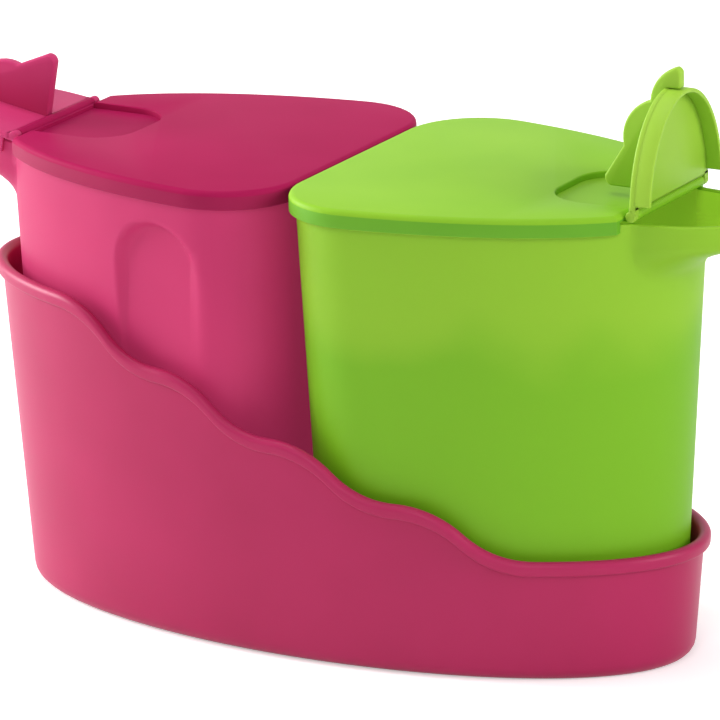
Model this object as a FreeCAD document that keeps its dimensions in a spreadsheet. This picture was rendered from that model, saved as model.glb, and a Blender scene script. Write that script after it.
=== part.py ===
"""Double dispenser: two lidded pouring containers that stand side by side in one cradle.

Millimetres, +Z up. The origin is the middle of the cradle's underside, +X runs from the
left container to the right one, and -Y is the front. Both containers are the same moulding,
and so are both lids and both caps: the left ones are turned half round about Z.
"""
import FreeCAD, Part
import Sketcher
import math
import os

SIZES = {
    # cradle: an oval tub whose rim steps down from the left end to the right one
    "cradle_clearance_length": 1.0,
    "cradle_clearance_width": 1.3,
    "cradle_spread_length": 3.2,
    "cradle_spread_width": 0.87,
    "cradle_wall": 1.9,
    "cradle_floor": 2.4,
    "cradle_edge_radius": 4.0,
    "rim_high": 95.0,
    "rim_low": 35.5,
    "rim_wave_start": -71.2,
    "rim_wave_pitch": 36.35,
    "rim_lip_overhang": 1.8,
    "rim_lip_height": 4.0,
    # lid: a press-on cover with a skirt, a thumb well and a hinge barrel at its outer end
    "lid_top": 133.0,
    "lid_half_length": 108.0,
    "lid_half_width": 55.1,
    "lid_gap": 0.25,
    "lid_end_cut": 13.2,
    "lid_corner_radius": 22.0,
    "lid_plate": 2.0,
    "lid_skirt": 1.5,
    "lid_skirt_height": 5.3,
    "lid_edge_radius": 1.5,
    "lid_clearance": 0.3,
    "well_length": 27.8,
    "well_half_width": 17.5,
    "well_corner_radius": 12.0,
    "well_depth": 1.8,
    "well_floor": 1.5,
    # hinge of the cap on the lid
    "hinge_overhang": 2.0,
    "hinge_drop": 1.0,
    "barrel_radius": 1.5,
    "barrel_half_length": 20.0,
    "pin_radius": 0.88,
    "pin_length": 2.2,
    "pin_clearance": 0.07,
    "pin_end_gap": 0.3,
    "ear_clearance": 0.3,
    "ear_width": 2.2,
    # container: a drafted cup with a beak-shaped spout and a sunken grip
    "container_taper_length": 6.3,
    "container_taper_width": 8.3,
    "container_face_draft": 1.3,
    "container_wall": 1.8,
    "container_base": 2.0,
    "container_foot_radius": 7.0,
    "spout_rim_drop": 3.0,
    "spout_reach": 29.5,
    "spout_inset": 1.5,
    "spout_collar": 6.0,
    "spout_scoop_depth": 17.0,
    "spout_nose_depth": 2.2,
    "spout_step": 0.6,
    "spout_overlap": 3.0,
    "grip_place": 36.0,
    "grip_half_width": 13.5,
    "grip_top": 120.0,
    "grip_foot": 52.0,
    "grip_depth": 3.5,
    # cap: a half-oval flap with a rib round its edge that fits over the spout, and a lifting fin above
    "cap_overhang": 1.5,
    "cap_ear_margin": 0.2,
    "cap_plate": 1.8,
    "cap_underside": 1.4,
    "cap_setback": 2.0,
    "rib_depth": 4.4,
    "rib_wall": 1.2,
    "rib_setback": 3.2,
    "fin_thickness": 3.2,
    "fin_back": 1.8,
    "fin_peak_reach": 4.8,
    "fin_peak_height": 18.2,
    "fin_shoulder_height": 16.4,
    "fin_peak_radius": 2.4,
    "fin_valley_reach": 13.6,
    "fin_valley_height": 12.6,
    "fin_tip_length": 10.0,
    "fin_step_height": 4.6,
    "fin_lobe_radius": 11.4,
    "fin_tip_overhang": 6.0,
    "fin_tip_drop": 4.5,
    "fin_tip_chamfer": 1.2,
    "fin_tip_radius": 11.0,
    # how far each cap stands open at rest, in degrees
    "left_cap_open": 10.0,
    "right_cap_open": 90.0,
}
WAVE_STEPS = 4
SPOUT_STATIONS = (0.3, 0.65, 0.95)
MARGIN = 40.0

doc = FreeCAD.newDocument("double_dispenser")
sheet = doc.addObject("Spreadsheet::Sheet", "sizes")
for row, (alias, value) in enumerate(SIZES.items(), start=1):
    sheet.set(f"A{row}", alias)
    sheet.set(f"B{row}", str(value))
    sheet.setAlias(f"B{row}", alias)
doc.recompute()

LID_END = "(sizes.lid_half_length - sizes.lid_end_cut)"
HINGE_REACH = f"({LID_END} + sizes.hinge_overhang)"
HINGE_HEIGHT = "(sizes.lid_top - sizes.hinge_drop)"
LID_UNDERSIDE = "(sizes.lid_top - sizes.lid_plate)"
SPOUT_RIM = "(sizes.lid_top - sizes.spout_rim_drop)"
SKIRT_OFFSET = "(sizes.lid_skirt + sizes.lid_clearance)"
CONTAINER_HEIGHT = f"({LID_UNDERSIDE} - sizes.cradle_floor)"
WELL_INNER_END = f"({LID_END} - sizes.well_length)"
EAR_FACE = "(sizes.barrel_half_length + sizes.ear_clearance)"
CAP_REACH = "(sizes.spout_reach + sizes.cap_overhang)"
CAP_HALF_WIDTH = f"({EAR_FACE} + sizes.ear_width + sizes.cap_ear_margin)"
SPOUT_HALF_WIDTH = f"({CAP_HALF_WIDTH} - sizes.spout_inset)"
FIN_TIP = f"({CAP_REACH} + sizes.fin_tip_overhang)"
ALONG_Y = FreeCAD.Rotation(FreeCAD.Vector(1, 0, 0), -90)
SIDE_VIEW = FreeCAD.Rotation(FreeCAD.Vector(1, 0, 0), 90)
END_VIEW = FreeCAD.Rotation(FreeCAD.Vector(1, 1, 1), 120)
HALF_TURN = FreeCAD.Rotation(FreeCAD.Vector(0, 0, 1), 180)


def number(expression):
    """The present value of an expression on the sheet's cells."""
    return float(sheet.evalExpression(expression))


def bind(item, **expressions):
    """Bind properties of a document object to expressions; base_x and the like place it."""
    for key, expression in expressions.items():
        path = "Placement.Base." + key[-1] if key.startswith("base_") else key
        item.setExpression(path, str(expression))
    return item


def box(name, x, y, z, length, width, height):
    """A box with its low corner at x, y, z."""
    item = doc.addObject("Part::Box", name)
    return bind(item, base_x=x, base_y=y, base_z=z, Length=length, Width=width, Height=height)


def wide_box(name, x, z, length, height):
    """A box across the whole part in Y."""
    return box(name, x, -2 * MARGIN, z, length, 4 * MARGIN, height)


def rod(name, x, y, z, radius, length):
    """A cylinder along +Y from the point x, y, z."""
    item = doc.addObject("Part::Cylinder", name)
    item.Placement.Rotation = ALONG_Y
    return bind(item, base_x=x, base_y=y, base_z=z, Radius=radius, Height=length)


def oval(name, x, z, half_length, half_width):
    """A level ellipse around x, 0, z, with its seam on the -X side."""
    item = doc.addObject("Part::Ellipse", name)
    item.Placement.Rotation = HALF_TURN
    return bind(item, base_x=x, base_z=z, MajorRadius=half_length, MinorRadius=half_width)


def upright_oval(name, x, z, half_width, half_height):
    """An ellipse across Y and Z around x, 0, z."""
    item = doc.addObject("Part::Ellipse", name)
    item.Placement.Rotation = END_VIEW
    return bind(item, base_x=x, base_z=z, MajorRadius=half_width, MinorRadius=half_height)


def loft(name, sections, ruled=True):
    """A solid through closed sections."""
    item = doc.addObject("Part::Loft", name)
    item.Sections = sections
    item.Solid = True
    item.Ruled = ruled
    return item


def oval_block(name, x, z_low, z_high, half_length, half_width):
    """A straight oval block between two heights."""
    low = oval(name + "_low", x, z_low, half_length, half_width)
    high = oval(name + "_high", x, z_high, half_length, half_width)
    return loft(name, [low, high])


def join(name, pieces):
    item = doc.addObject("Part::MultiFuse", name)
    item.Shapes = pieces
    return item


def overlap(name, first, second):
    item = doc.addObject("Part::Common", name)
    item.Base = first
    item.Tool = second
    return item


def remove(name, base, tool):
    item = doc.addObject("Part::Cut", name)
    item.Base = base
    item.Tool = tool
    return item


def round_edges(name, base, radius, pick):
    """Fillet the edges of a base object that pick(edge) accepts."""
    doc.recompute()
    edges = enumerate(base.Shape.Edges, start=1)
    chosen = [(index, radius, radius) for index, edge in edges if pick(edge)]
    item = doc.addObject("Part::Fillet", name)
    item.Base = base
    item.Edges = chosen
    return item


def spans(edge):
    """Lowest and highest corner of an edge's box."""
    limits = edge.BoundBox
    return (limits.XMin, limits.YMin, limits.ZMin), (limits.XMax, limits.YMax, limits.ZMax)


def level_at(height):
    """A test for edges that lie wholly at one height."""
    def pick(edge):
        low, high = spans(edge)
        return abs(low[2] - height) < 0.01 and abs(high[2] - height) < 0.01
    return pick


def upright_before(reach):
    """A test for edges that rise and stay on the -X side of a plane."""
    def pick(edge):
        low, high = spans(edge)
        return high[2] - low[2] > 0.5 and high[0] < reach
    return pick


def outline(name, corners, bends):
    """A closed sketch in the XZ plane.

    corners are pairs of expressions; bends gives, by corner number, the expression of the
    signed radius of the arc that leaves that corner, positive where the arc turns left.
    """
    sketch = doc.addObject("Sketcher::SketchObject", name)
    sketch.Placement.Rotation = SIDE_VIEW
    points = [FreeCAD.Vector(number(x), number(z), 0) for x, z in corners]
    count = len(points)
    for index, start in enumerate(points):
        end = points[(index + 1) % count]
        if index not in bends:
            sketch.addGeometry(Part.LineSegment(start, end))
            continue
        signed = number(bends[index])
        chord = end - start
        rise = math.sqrt(signed * signed - chord.Length ** 2 / 4)
        left = FreeCAD.Vector(-chord.y, chord.x, 0).normalize()
        centre = (start + end) * 0.5 + left * math.copysign(rise, signed)
        first, last = (start, end) if signed > 0 else (end, start)
        circle = Part.Circle(centre, FreeCAD.Vector(0, 0, 1), abs(signed))
        angles = [math.atan2(point.y - centre.y, point.x - centre.x) for point in (first, last)]
        sketch.addGeometry(Part.ArcOfCircle(circle, *angles))

    def ends(index):
        return (2, 1) if index in bends and number(bends[index]) < 0 else (1, 2)

    for index, (x, z) in enumerate(corners):
        following = (index + 1) % count
        sketch.addConstraint(Sketcher.Constraint(
            "Coincident", index, ends(index)[1], following, ends(following)[0]))
        for kind, expression in (("DistanceX", x), ("DistanceY", z)):
            place = sketch.addConstraint(Sketcher.Constraint(
                kind, -1, 1, index, ends(index)[0], number(expression)))
            sketch.setExpression(f"Constraints[{place}]", expression)
        if index in bends:
            place = sketch.addConstraint(Sketcher.Constraint("Radius", index, abs(number(bends[index]))))
            sketch.setExpression(f"Constraints[{place}]", f"abs({bends[index]})")
    return sketch


def slab(name, sketch, half_thickness):
    """A sketch of the XZ plane thickened to both sides of that plane."""
    item = doc.addObject("Part::Extrusion", name)
    item.Base = sketch
    item.DirMode = "Custom"
    item.Dir = FreeCAD.Vector(0, 1, 0)
    item.Solid = True
    return bind(item, LengthFwd=half_thickness, LengthRev=half_thickness)


def body_size(way, height):
    """Half the container's length or width at a height above its foot."""
    mouth = f"(sizes.lid_half_{way} - {SKIRT_OFFSET})"
    return f"({mouth} - sizes.container_taper_{way} * (1 - ({height}) / {CONTAINER_HEIGHT}))"


def cradle():
    """The oval tub with its stepped rim and the rim's rolled-out lip."""
    step = f"((sizes.rim_high - sizes.rim_low) / {WAVE_STEPS})"
    bend = f"((sizes.rim_wave_pitch ^ 2 + {step} ^ 2) / (4 * {step}))"
    far = str(4 * MARGIN)
    corners = [("-" + far, "-" + far), (far, "-" + far), (far, "sizes.rim_low")]
    bends = {}
    for half in range(2 * WAVE_STEPS + 1):
        x = f"sizes.rim_wave_start + sizes.rim_wave_pitch * {WAVE_STEPS - half / 2}"
        if half < 2 * WAVE_STEPS:
            bends[len(corners)] = bend if half % 2 else f"-{bend}"
        corners.append((x, f"sizes.rim_low + {step} * {half / 2}"))
    corners.append(("-" + far, "sizes.rim_high"))
    below_rim = slab("below_rim", outline("rim_line", corners, bends), 2 * MARGIN)
    lower_line = bind(outline("lip_line", corners, bends), base_z="-sizes.rim_lip_height")
    below_lip = slab("below_lip", lower_line, 2 * MARGIN)

    def tub(name, height, growth):
        """An oval tub from a height up past the rim, grown sideways from the outer face."""
        ends = []
        for part, z in (("_foot", height), ("_mouth", "1.1 * sizes.rim_high")):
            sizes = [
                f"{body_size(way, z)} + sizes.cradle_clearance_{way} + sizes.cradle_wall"
                f" + sizes.cradle_spread_{way} * ({z}) / sizes.rim_high + {growth}"
                for way in ("length", "width")]
            ends.append(oval(name + part, 0, z, *sizes))
        return loft(name, ends)

    edge_radius = number("sizes.cradle_edge_radius")
    inner_radius = number("sizes.cradle_edge_radius - sizes.cradle_wall")
    floor = number("sizes.cradle_floor")
    outside = round_edges("tub_outside", tub("tub_block", "0", "0"), edge_radius, level_at(0))
    hollow_block = tub("tub_hollow_block", "sizes.cradle_floor", "-sizes.cradle_wall")
    hollow = round_edges("tub_hollow", hollow_block, inner_radius, level_at(floor))
    lip_block = tub("lip_block", "0", "sizes.rim_lip_overhang")
    wall = overlap("tub_wall", outside, below_rim)
    lip = overlap("rim_lip", lip_block, remove("lip_band", below_rim, below_lip))
    return remove("cradle", join("tub", [wall, lip]), hollow)


def cup(name, inset, lift, rise):
    """The container's body block, drawn in by inset, from lift above its foot to rise above its mouth."""
    ends = []
    for part, z in (("_foot", f"({lift})"), ("_mouth", f"({CONTAINER_HEIGHT} + {rise})")):
        sizes = [f"{body_size(way, z)} - {inset}" for way in ("length", "width")]
        ends.append(oval(name + part, 0, f"sizes.cradle_floor + {z}", *sizes))
    face = wide_box(
        name + "_face",
        f"sizes.lid_gap + {SKIRT_OFFSET} + {inset}"
        f" + ({CONTAINER_HEIGHT} + {MARGIN}) * tan(sizes.container_face_draft)",
        f"sizes.cradle_floor - {MARGIN}", 4 * MARGIN, f"{CONTAINER_HEIGHT} + 2 * {MARGIN}")
    face.Placement.Rotation = FreeCAD.Rotation(FreeCAD.Vector(0, -1, 0), 1)
    face.setExpression("Placement.Rotation.Angle", "sizes.container_face_draft")
    block = overlap(name + "_block", loft(name + "_oval", ends), face)
    corner_radius = number(f"sizes.lid_corner_radius - {SKIRT_OFFSET} - {inset}")
    foot_radius = number(f"sizes.container_foot_radius - {lift}")
    foot_height = number(f"sizes.cradle_floor + {lift}")
    corners = round_edges(name + "_corners", block, corner_radius, upright_before(2 * MARGIN))
    return round_edges(name, corners, foot_radius, level_at(foot_height))


def spout(name, inset, root, top):
    """The beak: an oval collar over a narrower scoop that runs out to the nose, from root in X to top in Z."""
    reach = f"(sizes.spout_reach - {inset})"
    half_width = f"({SPOUT_HALF_WIDTH} - {inset})"
    collar_foot = f"({SPOUT_RIM} - sizes.spout_collar)"
    oval_collar = oval_block(name + "_oval", HINGE_REACH, collar_foot, top, reach, half_width)
    beyond = wide_box(name + "_beyond", root, 0, 4 * MARGIN, 6 * MARGIN)
    collar = overlap(name + "_collar", oval_collar, beyond)
    depth = f"(sizes.spout_scoop_depth - {inset})"
    nose = f"(sizes.spout_nose_depth - {inset})"
    scoop_width = f"({half_width} - sizes.spout_step)"
    sections = [upright_oval(name + "_root", root, collar_foot, scoop_width, depth)]
    for index, share in enumerate(SPOUT_STATIONS):
        sections.append(upright_oval(
            f"{name}_section_{index}",
            f"{HINGE_REACH} + ({reach} - sizes.spout_step) * {share}", collar_foot,
            f"{scoop_width} * sqrt(1 - {share} ^ 2)",
            f"{nose} + ({depth} - {nose}) * (1 - {share}) ^ 2"))
    scoop_block = loft(name + "_scoop_block", sections, ruled=False)
    above = wide_box(name + "_above", 0, f"{collar_foot} + sizes.spout_step", 4 * MARGIN, 2 * MARGIN)
    return join(name, [collar, remove(name + "_scoop", scoop_block, above)])


def grip(name, growth):
    """A round-topped upright slot with a flat back, grown by growth, that faces the container's side."""
    top = "(sizes.grip_top - sizes.cradle_floor)"
    wall_length = body_size("length", top)
    wall_width = body_size("width", top)
    share = f"(sizes.grip_place / {wall_length})"
    side = f"({wall_width} * sqrt(1 - {share} ^ 2))"
    slope = f"atan({wall_width} / {wall_length} * {share} / sqrt(1 - {share} ^ 2))"
    half_width = f"(sizes.grip_half_width + {growth})"
    centre = "(sizes.grip_top - sizes.grip_half_width)"
    legs = box(name + "_legs", f"-{half_width}", f"-{growth}", "sizes.grip_foot",
               f"2 * {half_width}", MARGIN, f"{centre} - sizes.grip_foot")
    arch = rod(name + "_arch", 0, f"-{growth}", centre, half_width, MARGIN)
    slot = join(name, [legs, arch])
    slot.Placement.Rotation = FreeCAD.Rotation(FreeCAD.Vector(0, 0, -1), 1)
    slot.setExpression("Placement.Rotation.Angle", slope)
    return bind(slot, base_x="sizes.grip_place", base_y=f"{side} - sizes.grip_depth")


def container(name):
    """The cup with its spout and the sunken grip in its side."""
    wall = "sizes.container_wall"
    outside = cup(name + "_outside", "0", "0", "0")
    hollow = cup(name + "_hollow", wall, "sizes.container_base", MARGIN / 4)
    beak = spout(name + "_spout", "0", LID_END, SPOUT_RIM)
    channel = spout(name + "_channel", wall, f"({LID_END} - sizes.spout_overlap)", f"sizes.lid_top + {MARGIN}")
    trim = wide_box(name + "_trim", f"{LID_END} - sizes.spout_step", SPOUT_RIM, 2 * MARGIN, MARGIN)
    shell = remove(name + "_shell", join(name + "_full", [outside, beak]),
                   join(name + "_voids", [hollow, channel, trim]))
    backing = overlap(name + "_backing", grip(name + "_backing_slot", wall), outside)
    return remove(name, join(name + "_backed", [shell, backing]), grip(name + "_grip", "0"))


def lid(name):
    """The press-on lid with its skirt, thumb well and hinge barrel."""
    skirt_foot = "sizes.lid_top - sizes.lid_skirt_height"

    def cover(part, z_low, z_high, inset, x_end):
        """An oval block with rounded corners beside the dividing plane."""
        block = oval_block(name + part + "_oval", 0, z_low, z_high,
                           f"sizes.lid_half_length - {inset}", f"sizes.lid_half_width - {inset}")
        span = wide_box(name + part + "_span", f"sizes.lid_gap + {inset}", 0,
                        f"{x_end} - sizes.lid_gap - {inset}", 4 * MARGIN)
        raw = overlap(name + part + "_raw", block, span)
        radius = number(f"sizes.lid_corner_radius - {inset}")
        return round_edges(name + part, raw, radius, upright_before(MARGIN / 4))

    def pocket(part, growth, z_low, height):
        """The thumb well's block, grown by growth, with its inner corners rounded."""
        block = box(name + part + "_block", f"{WELL_INNER_END} - {growth}",
                    f"-(sizes.well_half_width + {growth})", z_low,
                    f"sizes.well_length + {growth}",
                    f"2 * (sizes.well_half_width + {growth})", height)
        radius = number(f"sizes.well_corner_radius + {growth}")
        return round_edges(name + part, block, radius, upright_before(number(LID_END) - 1))

    top = number("sizes.lid_top")
    plain = cover("_cover", skirt_foot, "sizes.lid_top", "0", LID_END)
    soft = round_edges(name + "_soft", plain, number("sizes.lid_edge_radius"), level_at(top))
    hollow = cover("_hollow", skirt_foot + " - 1", LID_UNDERSIDE, "sizes.lid_skirt", f"2 * {LID_END}")
    pan_foot = "sizes.lid_top - sizes.well_depth - sizes.well_floor"
    pan = pocket("_pan", "sizes.well_floor", pan_foot, f"sizes.lid_top - 0.5 - ({pan_foot})")
    well = pocket("_well", "0", "sizes.lid_top - sizes.well_depth", MARGIN)
    web = box(name + "_web", f"{LID_END} - 0.5", "-sizes.barrel_half_length",
              f"{HINGE_HEIGHT} - sizes.barrel_radius", "sizes.hinge_overhang + 0.5",
              "2 * sizes.barrel_half_length", "sizes.barrel_radius + 0.2")
    barrel = rod(name + "_barrel", HINGE_REACH, "-sizes.barrel_half_length", HINGE_HEIGHT,
                 "sizes.barrel_radius", "2 * sizes.barrel_half_length")
    depth = "(sizes.pin_length - sizes.ear_clearance + sizes.pin_end_gap)"
    sockets = [
        rod(f"{name}_socket_{part}", HINGE_REACH, y, HINGE_HEIGHT,
            "sizes.pin_radius + sizes.pin_clearance", depth)
        for part, y in (("front", "-sizes.barrel_half_length"), ("back", f"sizes.barrel_half_length - {depth}"))]
    pressed = remove(name + "_pressed", join(name + "_dished", [remove(name + "_shell", soft, hollow), pan]), well)
    return remove(name, join(name + "_hinged", [pressed, web, barrel]), join(name + "_sockets", sockets))


def cap(name):
    """The flap in its closed pose, with the hinge axis along Y through its own origin."""
    plate_foot = "-sizes.cap_underside"
    plate_top = "sizes.cap_plate - sizes.cap_underside"
    plate = overlap(
        name + "_plate",
        oval_block(name + "_oval", 0, plate_foot, plate_top, CAP_REACH, CAP_HALF_WIDTH),
        wide_box(name + "_beyond", "sizes.cap_setback", -MARGIN, MARGIN, 2 * MARGIN))
    pieces = [plate]
    for part, ear_y, pin_y in (
            ("front", f"-{EAR_FACE} - sizes.ear_width", f"-{EAR_FACE} - sizes.ear_width / 2"),
            ("back", EAR_FACE, f"{EAR_FACE} - sizes.pin_length")):
        pieces.append(box(f"{name}_leg_{part}", 0, ear_y, plate_foot,
                          "sizes.cap_setback + 1", "sizes.ear_width", "sizes.cap_plate"))
        pieces.append(rod(f"{name}_ear_{part}", 0, ear_y, 0, "sizes.barrel_radius", "sizes.ear_width"))
        pieces.append(rod(f"{name}_pin_{part}", 0, pin_y, 0, "sizes.pin_radius",
                          "sizes.pin_length + sizes.ear_width / 2"))

    def arch(part, inset, z_low):
        """A half-oval block as wide as the plate, less inset all round."""
        return oval_block(name + part, 0, z_low, f"{plate_foot} + sizes.cap_plate / 4",
                          f"{CAP_REACH} - {inset}", f"{CAP_HALF_WIDTH} - {inset}")

    rib_foot = f"{plate_foot} - sizes.rib_depth"
    ring = remove(name + "_ring", arch("_rib_outside", "0", rib_foot),
                  arch("_rib_inside", "sizes.rib_wall", rib_foot + " - 1"))
    beyond_ring = wide_box(name + "_rib_beyond", "sizes.rib_setback", -MARGIN, MARGIN, 2 * MARGIN)
    rib = overlap(name + "_rib", ring, beyond_ring)
    ribbed = join(name + "_ribbed", [join(name + "_flap", pieces), rib])

    root = "-sizes.cap_underside / 2"
    corners = [
        ("sizes.fin_back", root),
        (CAP_REACH, root),
        (CAP_REACH, "-sizes.fin_tip_drop"),
        (f"{FIN_TIP} - sizes.fin_tip_chamfer", "-sizes.fin_tip_drop"),
        (FIN_TIP, "sizes.fin_tip_chamfer - sizes.fin_tip_drop"),
        (f"{FIN_TIP} - sizes.fin_tip_length", "sizes.fin_step_height"),
        ("sizes.fin_valley_reach", "sizes.fin_valley_height"),
        ("sizes.fin_peak_reach", "sizes.fin_peak_height"),
        ("sizes.fin_back", "sizes.fin_shoulder_height"),
    ]
    bends = {4: "sizes.fin_tip_radius", 5: "sizes.fin_lobe_radius", 7: "sizes.fin_peak_radius"}
    fin = slab(name + "_fin", outline(name + "_fin_line", corners, bends), "sizes.fin_thickness / 2")
    return join(name, [ribbed, fin])


def place_cap(item, side):
    """Set a cap on its hinge, standing open as it does at rest."""
    sign = "" if side == "right" else "-"
    opening = FreeCAD.Rotation(FreeCAD.Vector(0, -1, 0), number(f"sizes.{side}_cap_open"))
    item.Placement.Rotation = opening if side == "right" else HALF_TURN * opening
    bind(item, base_x=sign + HINGE_REACH, base_z=HINGE_HEIGHT)


nodes = [cradle()]
for side in ("left", "right"):
    body = container(f"{side}_container")
    cover = lid(f"{side}_lid")
    flap = cap(f"{side}_cap")
    if side == "left":
        body.Placement.Rotation = HALF_TURN
        cover.Placement.Rotation = HALF_TURN
    place_cap(flap, side)
    nodes += [body, cover, flap]

doc.recompute()
for item in doc.Objects:
    if "Invalid" in item.State or "Error" in item.State:
        raise RuntimeError(f"{item.Name} did not recompute: {item.State}")
os.makedirs("parts", exist_ok=True)
for node in nodes:
    node.Label = node.Name
    shape = node.Shape
    if shape.isNull() or not shape.isValid() or len(shape.Solids) != 1:
        raise RuntimeError(f"{node.Label} is not one sound solid")
    shape.exportStep(f"parts/{node.Label}.step")
    limits = shape.BoundBox
    print(f"{node.Label}: {shape.Volume / 1000:.2f} cm3,"
          f" x {limits.XMin:.1f} to {limits.XMax:.1f}, y {limits.YMin:.1f} to {limits.YMax:.1f},"
          f" z {limits.ZMin:.1f} to {limits.ZMax:.1f}")
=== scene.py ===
"""Looks of a double dispenser: two lidded pouring containers side by side in one cradle.

Pieces are drawn in millimetres in the part's own frame, +Z up, and scaled to metres when they
are finished. Each container, lid and cap is drawn for the right-hand side; the left-hand one
is the same moulding turned half round about Z.
"""
import logging
import math
from collections.abc import Callable, Sequence
from dataclasses import dataclass
from enum import Enum

import bmesh
import bpy
from mathutils import Matrix, Vector


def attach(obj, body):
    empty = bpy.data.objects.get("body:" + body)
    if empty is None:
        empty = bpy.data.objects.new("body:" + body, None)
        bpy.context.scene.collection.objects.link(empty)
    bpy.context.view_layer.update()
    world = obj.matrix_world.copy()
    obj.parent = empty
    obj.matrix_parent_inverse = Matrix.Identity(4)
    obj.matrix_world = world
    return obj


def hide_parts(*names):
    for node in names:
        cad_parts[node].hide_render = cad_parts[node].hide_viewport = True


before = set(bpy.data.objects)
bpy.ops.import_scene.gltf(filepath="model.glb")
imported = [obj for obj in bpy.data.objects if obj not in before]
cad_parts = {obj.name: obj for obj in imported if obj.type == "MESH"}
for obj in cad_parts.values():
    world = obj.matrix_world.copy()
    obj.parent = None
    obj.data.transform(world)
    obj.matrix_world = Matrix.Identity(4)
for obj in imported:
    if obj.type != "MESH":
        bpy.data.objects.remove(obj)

LOG = logging.getLogger("double_dispenser")
MM = 0.001
IMAGE_PIXELS = 720
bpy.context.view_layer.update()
# millimetres within which two places count as one
NEAR = 0.01
# an edge that turns by more radians than this is rounded
SHARP_TURN = 0.7
# a face whose normal rises by less than this counts as upright
UPRIGHT = 0.5
BEVEL_STEPS = 3
ROD_SEGMENTS = 32
HALVINGS = 40

Point = tuple[float, float]


class Side(Enum):
    """The two ends of the dispenser, by the name that their nodes start with."""

    LEFT = "left"
    RIGHT = "right"

    @property
    def turn(self) -> Matrix:
        """The turn about Z that brings a right-hand piece to this side."""
        return Matrix.Rotation(math.pi if self is Side.LEFT else 0.0, 4, "Z")


def linear(hex_colour: str) -> tuple[float, float, float, float]:
    """Turn an sRGB hex colour into linear light.

    Args:
        hex_colour: six hex digits after a hash sign.

    Returns:
        Linear red, green, blue and an alpha of one.
    """
    channels = [int(hex_colour[place:place + 2], 16) / 255 for place in (1, 3, 5)]
    return (*(c / 12.92 if c <= 0.04045 else ((c + 0.055) / 1.055) ** 2.4 for c in channels), 1.0)


def add_node(tree: bpy.types.NodeTree, kind: str, inputs: dict | None = None,
             **settings: object) -> bpy.types.Node:
    """Add a shader node with its settings, values and links.

    Args:
        tree: the node tree that takes the node.
        kind: the node's type name.
        inputs: by socket name or number, a value or the output socket to link.
        settings: the node's own properties.

    Returns:
        The new node.
    """
    node = tree.nodes.new(kind)
    for key, value in settings.items():
        setattr(node, key, value)
    for key, value in (inputs or {}).items():
        if isinstance(value, bpy.types.NodeSocket):
            tree.links.new(value, node.inputs[key])
        else:
            node.inputs[key].default_value = value
    return node


def smooth_step(low: float, high: float, value: float) -> float:
    """Rise softly from 0 at low to 1 at high."""
    share = min(max((value - low) / (high - low), 0.0), 1.0)
    return share * share * (3 - 2 * share)


def soft_max(first: float, second: float, width: float) -> float:
    """The larger of two lengths, with a fillet about width wide where they meet."""
    near = max(width - abs(first - second), 0.0) / width
    return max(first, second) + near * near * width / 4


def rounded(corners: Sequence[tuple[float, float, float]], steps: int) -> list[Point]:
    """Round the corners of an open flat line.

    Args:
        corners: the two coordinates of each corner and its radius, 0 for a sharp one and the two ends.
        steps: straight pieces in each round.

    Returns:
        The points of the rounded line.
    """
    points: list[Point] = []
    for index, (x, y, radius) in enumerate(corners):
        if radius == 0:
            points.append((x, y))
            continue
        corner = Vector((x, y))
        before = (Vector(corners[index - 1][:2]) - corner).normalized()
        after = (Vector(corners[index + 1][:2]) - corner).normalized()
        half = before.angle(after) / 2
        centre = corner + (before + after).normalized() * (radius / math.sin(half))
        start = corner + before * (radius / math.tan(half)) - centre
        end = corner + after * (radius / math.tan(half)) - centre
        sweep = start.angle_signed(end)
        for step in range(steps + 1):
            turned = start.copy()
            turned.rotate(Matrix.Rotation(-sweep * step / steps, 2))
            points.append(tuple(centre + turned))
    return points


def arc(start: Point, end: Point, radius: float, steps: int) -> list[Point]:
    """Points of an arc that turns left on its way between two points.

    Args:
        start: the arc's first point.
        end: its last point.
        radius: its radius.
        steps: straight pieces in it.

    Returns:
        The points, both ends included.
    """
    first, last = Vector(start), Vector(end)
    chord = last - first
    side = Vector((-chord.y, chord.x)).normalized()
    centre = (first + last) / 2 + side * math.sqrt(radius ** 2 - chord.length_squared / 4)
    begin = math.atan2(first.y - centre.y, first.x - centre.x)
    sweep = 2 * math.asin(chord.length / 2 / radius)
    return [(centre.x + radius * math.cos(begin + sweep * step / steps),
             centre.y + radius * math.sin(begin + sweep * step / steps)) for step in range(steps + 1)]


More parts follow.
